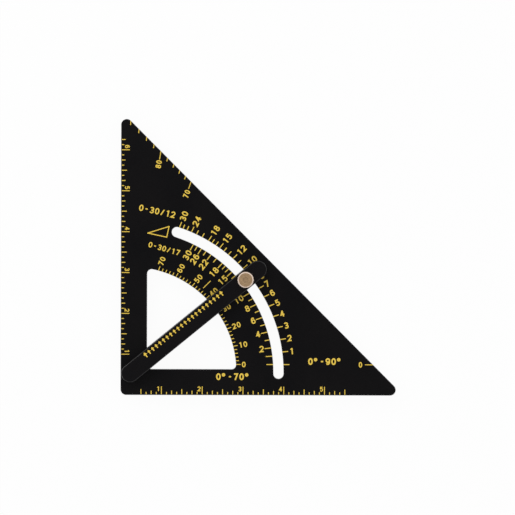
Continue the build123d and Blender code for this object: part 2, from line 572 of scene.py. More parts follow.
@dataclass(frozen=True)
class TurnedMetal(Finish):
    """Bare metal with the fine rings that a lathe leaves round its axis, and broken edges in a paler
    colour, partly a bright cut and partly a painted highlight.
    """

    axis: Vector
    clean: Colour
    dull: Colour
    # The colour of the broken edges: paler than the face, partly a bright cut and partly a painted
    # highlight.
    edge: Colour
    roughness: float = 0.38
    wall_roughness: float = 0.26
    edge_roughness: float = 0.24
    wall_span: Span = (0.15, 0.5)
    edge_rise: Span = (0.45, 0.6)
    edge_fall: Span = (0.8, 0.95)
    rings: Pattern = Pattern(5200.0, detail=3.0, gloss=0.16)
    bands: Pattern = Pattern(1040.0, detail=1.0, span=(0.42, 0.62), share=0.45)
    haze: Pattern = Pattern(620.0, detail=4.0, span=(0.42, 0.64), share=0.3, gloss=0.12)
    blotches: Pattern = Pattern(1500.0, span=(0.4, 0.62), share=0.25)
    specks: Pattern = Pattern(4200.0, share=0.2)
    relief_depth: float = 0.010 * MM
    relief_strength: float = 0.5

    def paint(self, shader: Shader) -> None:
        """Fills an empty node tree.

        Args:
            shader: The tree.
        """
        here = shader.place(origin=self.axis)
        rings = shader.rings(here, self.rings)
        haze = shader.noise(here, self.haze)
        specks = shader.noise(here, self.specks)
        blotched = shader.noise(here, self.blotches).tint(self.blotches)
        dulled = haze.tint(self.haze) + blotched + shader.rings(here, self.bands).tint(self.bands)
        broken = shader.leaning(self.edge_rise, self.edge_fall)
        turned = shader.level().step(*self.wall_span).between(self.wall_roughness, self.roughness)
        satin = broken.between(turned, self.edge_roughness)
        relief = rings * (1 - self.specks.share) + specks * self.specks.share
        surface = shader.principled(
            # The broken edges take the paler edge colour, a painted highlight on the chamfers over a
            # brighter cut.
            Base_Color=shader.mix(broken, shader.mix(dulled, self.clean, self.dull), self.edge),
            Metallic=1.0,
            Roughness=satin + rings.sway(self.rings) + haze.sway(self.haze),
            Normal=shader.bump(relief, self.relief_depth, self.relief_strength),
        )
        shader.output(surface)


@dataclass(frozen=True)
class TurnedBrass(TurnedMetal):
    """Brass as it leaves the lathe, dulled by handling, its chamfers in a paler colour that is partly a
    bright cut and partly a painted highlight.
    """

    clean: Colour = (0.98, 0.70, 0.42)
    dull: Colour = (0.57, 0.393, 0.238)
    # Pale chamfer colour: partly a bright cut, partly a painted highlight.
    edge: Colour = (0.84, 0.68, 0.57)
    roughness: float = 0.6


@dataclass(frozen=True)
class ZincPlate(TurnedMetal):
    """Bright zinc on turned or stamped steel."""

    clean: Colour = (0.66, 0.66, 0.68)
    dull: Colour = (0.5, 0.5, 0.5)
    # A slightly paler edge colour, the same painted highlight on the broken edges as on the brass.
    edge: Colour = (0.7, 0.7, 0.71)


@dataclass(frozen=True)
class BlackNylon(Finish):
    """Moulded black nylon, dull, with a faint mottle."""

    name: str = "black_nylon"
    dark: Colour = (0.016, 0.016, 0.017)
    pale: Colour = (0.034, 0.034, 0.036)
    roughness: float = 0.52
    mottle: Pattern = Pattern(900.0, detail=4.0, span=(0.3, 0.7))
    grain: Pattern = Pattern(4800.0, gloss=0.2)
    relief_depth: float = 0.01 * MM
    relief_strength: float = 0.4

    def paint(self, shader: Shader) -> None:
        """Fills an empty node tree.

        Args:
            shader: The tree.
        """
        here = shader.place()
        mottle = shader.noise(here, self.mottle).step(*self.mottle.span)
        grain = shader.noise(here, self.grain)
        surface = shader.principled(
            Base_Color=shader.mix(mottle, self.dark, self.pale),
            Roughness=self.roughness + grain.sway(self.grain),
            Normal=shader.bump(grain, self.relief_depth, self.relief_strength),
        )
        shader.output(surface)


# Numerals


@dataclass(frozen=True)
class Spot:
    """A place on a flat face, with the direction in which its marks read."""

    x: float
    y: float
    angle: float = 0.0

    def point(self, along: float, up: float = 0.0) -> Vector:
        """Gives a point of the face.

        Args:
            along: The distance in the reading direction.
            up: The distance to the left of that direction.

        Returns:
            The point.
        """
        cosine, sine = math.cos(self.angle), math.sin(self.angle)
        return Vector((self.x + along * cosine - up * sine, self.y + along * sine + up * cosine))

    def shape(self, points: Iterable[Point]) -> Polygon:
        """Places a small drawing, given as distances along and up."""
        return [self.point(along, up) for along, up in points]


def arc(centre: Point, radii: Point, start: float, end: float, step: float = 12.0) -> list[Point]:
    """Draws part of an ellipse.

    Args:
        centre: The middle of the ellipse.
        radii: Half its width and half its height.
        start: The first angle, in degrees.
        end: The last angle, in degrees.
        step: The largest angle between two points.

    Returns:
        The points of the curve.
    """
    count = math.ceil(abs(end - start) / step)
    angles = [math.radians(start + (end - start) * index / count) for index in range(count + 1)]
    return [(centre[0] + radii[0] * math.cos(a), centre[1] + radii[1] * math.sin(a)) for a in angles]


def loop(centre: Point, radii: Point, overlap: float = 12.0) -> list[list[Point]]:
    """Draws a whole ellipse as two curves that overlap at their ends."""
    starts = (0.0, HALF_TURN_DEGREES)
    return [arc(centre, radii, a - overlap, a + HALF_TURN_DEGREES + overlap) for a in starts]


# Half a stroke, in half heights of a numeral's centre line
CAP = 0.19

# Centre lines of the plain numerals, in half widths and half heights about the middle
NUMERALS: dict[str, list[list[Point]]] = {
    "0": loop((0, 0), (1, 1)),
    "1": [[(0.25, -1 - CAP), (0.25, 1 + CAP)], [(-0.72, 0.66), (0.25, 1.0)]],
    "2": [arc((0, 0.42), (1, 0.58), 170, -45) + [(-1, -1), (1.15, -1)]],
    "3": [
        arc((0, 0.5), (0.92, 0.5), 155, -90) + [(-0.35, 0)],
        [(-0.35, 0)] + arc((0, -0.5), (1, 0.5), 90, -155),
    ],
    "4": [[(0.4, 1), (-1, -0.42), (1.25, -0.42)], [(0.4, 1 + CAP), (0.4, -1 - CAP)]],
    "5": [[(0.95, 1), (-0.66, 1), (-0.82, -0.02)], arc((-0.02, -0.36), (1.02, 0.64), 150, -150)],
    "6": [*loop((0, -0.38), (1, 0.62)), arc((0, 0), (1, 1), 40, 180) + [(-1, -0.38)]],
    "7": [[(-1.1, 1), (1, 1), (-0.4, -1 - CAP)]],
    "8": [*loop((0, 0.52), (0.86, 0.48)), *loop((0, -0.48), (1, 0.52))],
    "9": [*loop((0, 0.38), (1, 0.62)), arc((0, 0), (1, 1), 220, 360) + [(1, 0.38)]],
    "-": [[(-0.7, 0), (0.7, 0)]],
    "/": [[(-0.8, -1.1), (0.8, 1.1)]],
    "°": loop((-0.45, 0.68), (0.62, 0.36)),
}


@dataclass(frozen=True)
class Pen:
    """Draws centre lines as flat strokes of one width."""

    width: float
    sharpest: float = 0.34

    def stroke(self, path: Path) -> Polygon:
        """Outlines one stroke, mitred at its corners and square at its ends.

        Args:
            path: The points of the centre line.

        Returns:
            The outline.
        """
        normals = [(after - here).orthogonal().normalized() for here, after in zip(path, path[1:])]
        left, right = [], []
        for index, point in enumerate(path):
            first, second = normals[max(index - 1, 0)], normals[min(index, len(normals) - 1)]
            middle = (first + second).normalized()
            reach = middle * (self.width / 2 / max(middle.dot(first), self.sharpest))
            left.append(point + reach)
            right.append(point - reach)
        return left + right[::-1]


@dataclass(frozen=True)
class Lettering:
    """Plain numerals of one height, drawn with one pen."""

    height: float
    weight: float = 0.19
    width_share: float = 0.68
    gap_share: float = 0.16

    @property
    def stroke_width(self) -> float:
        """The width of each stroke."""
        return self.height * self.weight

    @property
    def width(self) -> float:
        """The width of one numeral."""
        return self.height * self.width_share

    @property
    def advance(self) -> float:
        """The distance from one numeral to the next."""
        return self.width + self.height * self.gap_share

    def length(self, text: str) -> float:
        """The length of a line of numerals."""
        return self.width + self.advance * (len(text) - 1)

    def outlines(self, text: str, spot: Spot) -> list[Polygon]:
        """Draws a line of numerals centred on a spot.

        Args:
            text: The numerals.
            spot: The middle of the line and its reading direction.

        Returns:
            The outlines of all strokes.
        """
        pen = Pen(self.stroke_width)
        half_width = (self.width - self.stroke_width) / 2
        half_height = (self.height - self.stroke_width) / 2
        outlines = []
        for index, character in enumerate(text):
            middle = (index - (len(text) - 1) / 2) * self.advance
            for path in NUMERALS[character]:
                points = [(middle + x * half_width, y * half_height) for x, y in path]
                outlines.append(pen.stroke(spot.shape(points)))
        return outlines


# Printed marks


def cast(shape: bmesh.types.BMesh, name: str, finish: Finish) -> bpy.types.Object:
    """Turns a shape into an object with a finish.

    Args:
        shape: The shape, which is freed.
        name: The object's name.
        finish: Its finish.

    Returns:
        The object.
    """
    mesh = bpy.data.meshes.new(name)
    shape.to_mesh(mesh)
    shape.free()
    mesh.materials.append(finish.material)
    return set_out(name, mesh)


def settle(shape: bmesh.types.BMesh, name: str, body: Body, finish: Finish) -> bpy.types.Object:
    """Turns a shape into a named piece that rides on a body.

    Args:
        shape: The shape, which is freed.
        name: The piece's name.
        body: The body that carries it.
        finish: Its finish.

    Returns:
        The piece.
    """
    piece = cast(shape, name, finish)
    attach(piece, body.value)
    return piece


def flat(point: Vector) -> float:
    """The drop of a face with no broken edge, wherever the point is."""
    return 0.0


@dataclass
class InkSheet:
    """Collects flat outlines and lays them down as one thin film, over the broken edges too."""

    name: str
    body: Body
    level: float
    fall: Callable[[Vector], float] = flat
    film: float = 0.025 * MM
    bite: float = 0.010 * MM
    weld: float = 0.002 * MM
    outlines: list[Polygon] = field(default_factory=list)

    def add(self, *outlines: Polygon) -> None:
        """Adds outlines, each turned counter-clockwise.

        Args:
            outlines: The outlines, which may overlap.
        """
        for outline in outlines:
            turned = sum(a.cross(b) for a, b in zip(outline, outline[1:] + outline[:1]))
            self.outlines.append(outline if turned > 0 else outline[::-1])

    def merged(self) -> tuple[list[Vector], list[list[int]]]:
        """Joins the outlines where they overlap.

        Returns:
            The points, and the triangles that the outlines cover.
        """
        points = [point for outline in self.outlines for point in outline]
        faces, start = [], 0
        for outline in self.outlines:
            faces.append(list(range(start, start + len(outline))))
            start += len(outline)
        joined, _, triangles, _, _, sources = delaunay_2d_cdt(points, [], faces, 1, self.weld)
        return joined, [triangle for triangle, source in zip(triangles, sources) if source]

    def lay(self, ink: PrintedInk) -> bpy.types.Object:
        """Makes one closed film that grips its face.

        Args:
            ink: The film's finish.

        Returns:
            The printed piece, riding on its body.
        """
        points, triangles = self.merged()
        levels = [self.level - self.fall(point) for point in points]
        shape = bmesh.new()
        tops = [shape.verts.new((*point, level + self.film)) for point, level in zip(points, levels)]
        feet = [shape.verts.new((*point, level - self.bite)) for point, level in zip(points, levels)]
        sides = {(a, b) for t in triangles for a, b in zip(t, [*t[1:], t[0]])}
        for triangle in triangles:
            shape.faces.new([tops[index] for index in triangle])
            shape.faces.new([feet[index] for index in reversed(triangle)])
        for a, b in sorted(sides):
            if (b, a) not in sides:
                shape.faces.new((feet[a], feet[b], tops[b], tops[a]))
        loose = [vertex for vertex in shape.verts if not vertex.link_faces]
        bmesh.ops.delete(shape, geom=loose, context="VERTS")
        bmesh.ops.remove_doubles(shape, verts=shape.verts, dist=self.weld)
        return settle(shape, self.name, self.body, ink)


@dataclass(frozen=True)
class PlateLayout:
    """The plate's edges, slot and window, worked out from the frame and a few of the plate's own sizes."""

    corner_radius: float = 3.5 * MM
    edge_break: float = 0.35 * MM
    rim_margin: float = 0.05 * MM
    slot_fit: float = 0.075 * MM
    scale_band: float = 23.08 * MM

    @cached_property
    def face(self) -> float:
        """The level of the printed face."""
        return box("square_plate")[1].z

    @cached_property
    def corner(self) -> Vector:
        """The square corner, where the plumb and seat edges meet."""
        return box("square_plate")[0].xy

    @cached_property
    def hypotenuse(self) -> float:
        """Measures the slanting edge.

        Returns:
            Its distance from the pivot.
        """
        low, high = box("square_plate")
        sharp_leg = high.x - low.x + ROOT_TWO * self.corner_radius
        return (sharp_leg + low.x + low.y) / ROOT_TWO

    @cached_property
    def slot(self) -> Span:
        """Measures the slot.

        Returns:
            Its inner and outer radius.
        """
        low, high = box("slot_bush")
        middle = axis_of("slot_bush").xy.length
        half = (high.x - low.x) / 2 + self.slot_fit
        return middle - half, middle + half

    @cached_property
    def window(self) -> float:
        """The window's radius."""
        return self.slot[0] - self.scale_band

    def fall(self, point: Vector) -> float:
        """Tells how far the broken edges drop below the printed face.

        Args:
            point: A point of the plate, seen from above.

        Returns:
            The drop, which is 0 on the face.
        """
        edges = [abs(point.length - radius) for radius in (self.window, *self.slot)]
        inside = min(*edges, self.hypotenuse - (point.x + point.y) / ROOT_TWO)
        return max(0.0, self.edge_break - inside)


class Root(Enum):
    """The edge that a scale's ticks start from, and the way they run from it."""

    WINDOW = 1
    SLOT_OUTSIDE = 2
    SLOT_INSIDE = -1
    HYPOTENUSE = -2

    @property
    def way(self) -> int:
        """1 where ticks run away from the pivot, and -1 where they run towards it."""
        return 1 if self.value > 0 else -1


class Graduation(Enum):
    """What a scale's numbers stand for, as the run in which the number is the rise."""

    DEGREES = 0.0
    COMMON_RAFTER = 12.0
    HIP_RAFTER = COMMON_RAFTER * ROOT_TWO

    def angle(self, number: float) -> float:
        """The angle that a number reads."""
        return math.atan2(number, self.value) if self.value else math.radians(number)


@dataclass(frozen=True)
class SightLine:
    """The line along which one number is printed, set off from the pivot as the arm's upper edge is."""

    angle: float
    arm_half: float = 5.6 * MM
    print_shift: Point = (-0.215 * MM, -0.353 * MM)

    @property
    def offset(self) -> float:
        """The line's distance from the pivot, with the print's own small shift on the plate."""
        across, up = self.print_shift
        return self.arm_half + up * math.cos(self.angle) - across * math.sin(self.angle)

    def spot(self, along: float) -> Spot:
        """A place on the line, reading away from the pivot."""
        start = Spot(0, 0, self.angle).point(along, self.offset)
        return Spot(start.x, start.y, self.angle)

    def meets(self, plate: PlateLayout, root: Root, inside: float, aside: float = 0.0) -> float:
        """Finds where the line comes to a given distance from an edge.

        Args:
            plate: The plate's layout.
            root: The edge.
            inside: The distance from the edge.
            aside: How far to the left of the line to look.

        Returns:
            The distance along the line.
        """
        offset = self.offset + aside
        inset = inside * root.way
        if root is Root.HYPOTENUSE:
            lean = EIGHTH_TURN - self.angle
            return (plate.hypotenuse + inset - offset * math.sin(lean)) / math.cos(lean)
        radius = {
            Root.WINDOW: plate.window,
            Root.SLOT_INSIDE: plate.slot[0],
            Root.SLOT_OUTSIDE: plate.slot[1],
        }[root]
        return math.sqrt((radius + inset) ** 2 - offset**2)

    def tick(self, plate: PlateLayout, root: Root, length: float, stroke: float) -> list[Polygon]:
        """Draws a tick from an edge.

        Args:
            plate: The plate's layout.
            root: The edge.
            length: The tick's length from the edge itself.
            stroke: The tick's width.

        Returns:
            The outlines of the part on the broken edge and of the part on the face.
        """
        sides = (-stroke / 2, stroke / 2)
        rim, crease = (
            [(self.meets(plate, root, inside, aside), self.offset + aside) for aside in sides]
            for inside in (plate.rim_margin, plate.edge_break)
        )
        end = self.meets(plate, root, length)
        far = [(end, self.offset + aside) for aside in sides]
        line = Spot(0, 0, self.angle)
        return [line.shape(rim + crease[::-1]), line.shape(crease + far[::-1])]


@dataclass(frozen=True)
class AngleScale:
    """A scale of ticks and numbers round the pivot."""

    name: str
    root: Root
    graduation: Graduation
    numbers: Sequence[int]
    labels: Sequence[int]
    lettering: Lettering
    short: float
    long: float
    gap: float
    stroke: float = 0.55 * MM
    long_unlabelled: Sequence[int] = ()

    def draw(self, plate: PlateLayout, sheet: InkSheet) -> None:
        """Draws the scale's ticks and numbers.

        Args:
            plate: The plate's layout.
            sheet: The film that takes them.
        """
        for number in self.numbers:
            line = SightLine(self.graduation.angle(number))
            named = number in self.labels
            long = named or number in self.long_unlabelled
            sheet.add(*line.tick(plate, self.root, self.long if long else self.short, self.stroke))
            if named:
                text = str(number)
                clear = self.long + self.gap + self.lettering.length(text) / 2
                middle = line.meets(plate, self.root, 0.0) + self.root.way * clear
                sheet.add(*self.lettering.outlines(text, line.spot(middle)))


class Leg(Enum):
    """The two straight edges that carry a rule, by the angle at which each leaves the square corner."""

    SEAT = 0.0
    PLUMB = QUARTER_TURN

    @property
    def inward(self) -> int:
        """The side of the edge on which the plate lies: 1 to its left and -1 to its right."""
        return 1 if self is Leg.SEAT else -1


@dataclass(frozen=True)
class EdgeRule:
    """An inch rule along one leg of the plate, with its numbers standing on the leg."""

    name: str
    leg: Leg
    first_eighth: int
    last_eighth: int
    lettering: Lettering = Lettering(3.0 * MM)
    stroke: float = 0.5 * MM
    margin: float = 0.1 * MM
    inch_tick: float = 4.95 * MM
    half_tick: float = 3.2 * MM
    quarter_tick: float = 2.3 * MM
    eighth_tick: float = 1.5 * MM
    number_aside: float = 1.95 * MM

    def length(self, eighth: int) -> float:
        """Chooses a tick's length.

        Args:
            eighth: The tick's place, in eighths of an inch from the corner.

        Returns:
            The length, which is greatest at a whole inch.
        """
        if eighth % EIGHTHS == 0:
            return self.inch_tick
        if eighth % (EIGHTHS // 2) == 0:
            return self.half_tick
        return self.eighth_tick if eighth % 2 else self.quarter_tick

    def draw(self, plate: PlateLayout, sheet: InkSheet) -> None:
        """Draws the rule's ticks and inch numbers.

        Args:
            plate: The plate's layout.
            sheet: The film that takes them.
        """
        corner, inward = plate.corner, self.leg.inward
        edge = Spot(corner.x, corner.y, self.leg.value)
        near, half = plate.edge_break + self.margin, self.stroke / 2
        for eighth in range(self.first_eighth, self.last_eighth + 1):
            along, far = eighth * INCH / EIGHTHS, near + self.length(eighth)
            sides = ((along - half, near), (along + half, near), (along + half, far), (along - half, far))
            sheet.add(edge.shape((a, inward * up) for a, up in sides))
            if eighth % EIGHTHS == 0:
                middle = near + self.inch_tick - self.lettering.height / 2
                spot = edge.point(along - inward * self.number_aside, inward * middle)
                reading = Spot(spot.x, spot.y, -self.leg.value)
                sheet.add(*self.lettering.outlines(str(eighth // EIGHTHS), reading))


# Sub-assemblies


class SubAssembly(ABC):
    """Pieces of the tool that come together on the bench."""

    @abstractmethod
    def dress(self) -> Pieces:
        """Gives the frame's own nodes their finish."""

    def build(self) -> Pieces:
        """Makes the meshes that the frame lacks, which are none unless a sub-assembly has some."""
        return []


@dataclass(frozen=True)
class SquarePlate(SubAssembly):
    """The black plate with its printed scales, rules and symbols."""

    ink: PrintedInk
    finish: BlackAnodise = BlackAnodise("black_anodised_plate")
    layout: PlateLayout = PlateLayout()
    pitch_numbers: tuple[int, ...] = (*range(19), *range(20, 31, 2))
    hip_labels: tuple[int, ...] = (*range(2, 13, 2), 15, 18, 22, 26, 30)
    common_labels: tuple[int, ...] = (*range(1, 9), 10, 12, 15, 18, 24, 30)
    small: Lettering = Lettering(3.5 * MM)
    narrow: Lettering = Lettering(3.5 * MM, width_share=0.62)
    middle: Lettering = Lettering(4.0 * MM)
    bold: Lettering = Lettering(4.3 * MM, weight=0.21)
    stroke: float = 0.5 * MM
    zero_tick: float = 3.55 * MM
    zero_gap: float = 2.0 * MM
    mitre_line: Span = (69.1 * MM, 75.5 * MM)
    common_caption: Spot = Spot(16.2 * MM, 100.4 * MM, math.radians(-12.0))
    hip_caption: Spot = Spot(20.6 * MM, 77.2 * MM, math.radians(-15.6))
    degree_caption: Spot = Spot(63.6 * MM, -2.4 * MM)
    mitre_caption: Spot = Spot(120.9 * MM, 7.2 * MM)
    pitch_symbol: Spot = Spot(17.0 * MM, 88.9 * MM, math.radians(-12.0))
    symbol_run: float = 12.0 * MM
    symbol_rise: float = 6.8 * MM
    symbol_stroke: float = 0.6 * MM

    def scales(self) -> list[AngleScale]:
        """Lists the four scales round the pivot.

        Returns:
            The scales.
        """
        degrees = AngleScale(
            "degree_scale", Root.WINDOW, Graduation.DEGREES,
            numbers=range(0, 71, 2), labels=range(0, 71, 10), lettering=self.small,
            short=2.0 * MM, long=2.8 * MM, gap=0.8 * MM, stroke=0.47 * MM,
        )
        hip = AngleScale(
            "hip_pitch_scale", Root.SLOT_INSIDE, Graduation.HIP_RAFTER,
            numbers=self.pitch_numbers, labels=self.hip_labels, lettering=self.middle,
            short=3.1 * MM, long=4.2 * MM, gap=0.5 * MM, long_unlabelled=(0, 1),
        )
        common = AngleScale(
            "common_pitch_scale", Root.SLOT_OUTSIDE, Graduation.COMMON_RAFTER,
            numbers=self.pitch_numbers, labels=self.common_labels, lettering=self.middle,
            short=2.8 * MM, long=3.7 * MM, gap=0.9 * MM, long_unlabelled=(0,),
        )
        mitre = AngleScale(
            "mitre_edge_scale", Root.HYPOTENUSE, Graduation.DEGREES,
            numbers=range(70, 89, 2), labels=(70, 80), lettering=self.narrow,
            short=1.95 * MM, long=4.3 * MM, gap=1.5 * MM, stroke=self.stroke,
        )
        return [degrees, hip, common, mitre]

    def rules(self) -> list[EdgeRule]:
        """The inch rules along the two legs."""
        plumb = EdgeRule("plumb_edge_rule", Leg.PLUMB, first_eighth=8, last_eighth=50)
        return [plumb, EdgeRule("seat_edge_rule", Leg.SEAT, first_eighth=4, last_eighth=44)]

    def sheet(self, name: str) -> InkSheet:
        """A clean film on the plate's face."""
        return InkSheet(name, Body.SQUARE, self.layout.face)

    def edge_sheet(self, name: str) -> InkSheet:
        """A clean film that also runs over the broken edges."""
        return InkSheet(name, Body.SQUARE, self.layout.face, self.layout.fall)

    def single_marks(self) -> InkSheet:
        """Draws the marks that stand by themselves: zero at the slanting edge and the mitre line.

        Returns:
            Their film.
        """
        sheet = self.edge_sheet("single_marks")
        zero = SightLine(0.0)
        sheet.add(*zero.tick(self.layout, Root.HYPOTENUSE, self.zero_tick, self.stroke))
        middle = zero.meets(self.layout, Root.HYPOTENUSE, self.zero_tick + self.zero_gap)
        sheet.add(*self.narrow.outlines("0", zero.spot(middle)))
        mitre = SightLine(EIGHTH_TURN)
        sheet.add(Pen(self.stroke).stroke([mitre.spot(along).point(0) for along in self.mitre_line]))
        return sheet

    def captions(self) -> InkSheet:
        """Draws what each scale covers, in plain numbers, and the roof pitch symbol.

        Returns:
            Their film.
        """
        sheet = self.sheet("scale_captions")
        sheet.add(*self.middle.outlines("0-30/12", self.common_caption))
        sheet.add(*self.small.outlines("0-30/17", self.hip_caption))
        sheet.add(*self.bold.outlines("0°-70°", self.degree_caption))
        sheet.add(*self.bold.outlines("0°-90°", self.mitre_caption))
        run, rise = self.symbol_run / 2, self.symbol_rise / 2
        corners = self.pitch_symbol.shape([(-run, -rise), (run, -rise), (run, rise)])
        for start, end in zip(corners, corners[1:] + corners[:1]):
            cap = (end - start).normalized() * self.symbol_stroke / 2
            sheet.add(Pen(self.symbol_stroke).stroke([start - cap, end + cap]))
        return sheet

    def dress(self) -> Pieces:
        """Gives the plate its black finish."""
        return self.finish.cover("square_plate")

    def build(self) -> Pieces:
        """Lays all printed marks on the plate.

        Returns:
            Their films.
        """
        graduated = [(scale, self.edge_sheet(scale.name)) for scale in self.scales()]
        graduated += [(rule, self.sheet(rule.name)) for rule in self.rules()]
        for marks, sheet in graduated:
            marks.draw(self.layout, sheet)
        sheets = [*(sheet for _, sheet in graduated), self.single_marks(), self.captions()]
        return [sheet.lay(self.ink) for sheet in sheets]


@dataclass(frozen=True)
class Arrow:
    """A plain arrow with a solid head."""

    height: float
    width: float
    stem: float
    head_share: float = 0.5

    def outlines(self, spot: Spot) -> list[Polygon]:
        """Draws the arrow, pointing up from a spot's reading line.

        Args:
            spot: The arrow's middle.

        Returns:
            The outlines of its head and stem.
        """
        top, half = self.height / 2, self.width / 2
        neck = top - self.height * self.head_share
        head = spot.shape(((-half, neck), (half, neck), (0, top)))
        return [head, Pen(self.stem).stroke([spot.point(0, -top), spot.point(0, neck + self.stem)])]


@dataclass(frozen=True)
class ArmPair(SubAssembly):
    """The two black arms, with the arrows that point to the front one's setting edge."""

    ink: PrintedInk
    ends: Span = (14.6 * MM, 75.0 * MM)
    across: float = 2.9 * MM
    end_arrow: Arrow = Arrow(height=3.6 * MM, width=2.6 * MM, stem=0.7 * MM)
    row_arrow: Arrow = Arrow(height=2.9 * MM, width=2.2 * MM, stem=0.7 * MM)
    row_count: int = 20

    @cached_property
    def angle(self) -> float:
        """The angle at which the arms stand."""
        clamp_axis = axis_of("thumb_screw")
        return math.atan2(clamp_axis.y, clamp_axis.x)

    def dress(self) -> Pieces:
        """Gives both arms a satin finish, brushed along their length."""
        return SatinBar("black_anodised_arm", self.angle).cover("front_arm", "rear_arm")

    def build(self) -> Pieces:
        """Lays the marks on the front arm's face.

        Returns:
            Their film.
        """
        sheet = InkSheet("setting_edge_arrows", Body.ARM, box("front_arm")[1].z)
        line = SightLine(self.angle, self.across, print_shift=(0.0, 0.0))
        first, last = self.ends
        pitch = (last - first) / (self.row_count + 1)
        for along in self.ends:
            sheet.add(*self.end_arrow.outlines(line.spot(along)))
        for index in range(1, self.row_count + 1):
            sheet.add(*self.row_arrow.outlines(line.spot(first + index * pitch)))
        return [sheet.lay(self.ink)]


@dataclass(frozen=True)
class PivotStack(SubAssembly):
    """The post and screw that the arms turn on, with the glide washers beside the plate."""

    steel: ZincPlate
    nylon: BlackNylon

    def dress(self) -> Pieces:
        """Gives the fasteners bright zinc and the washers black nylon."""
        fasteners = self.steel.cover("pivot_post", "pivot_screw")
        return fasteners + self.nylon.cover("front_pivot_washer", "rear_pivot_washer")


@dataclass(frozen=True)
class ClampStack(SubAssembly):
    """What the thumb screw draws together through the slot: bush, glide washers, insert and flat washer."""

    steel: ZincPlate
    brass: TurnedBrass
    nylon: BlackNylon

    def dress(self) -> Pieces:
        """Gives each piece of the stack its finish."""
        glides = self.nylon.cover("slot_bush", "front_slot_washer", "rear_slot_washer")
        return glides + self.brass.cover("clamp_insert") + self.steel.cover("clamp_washer")


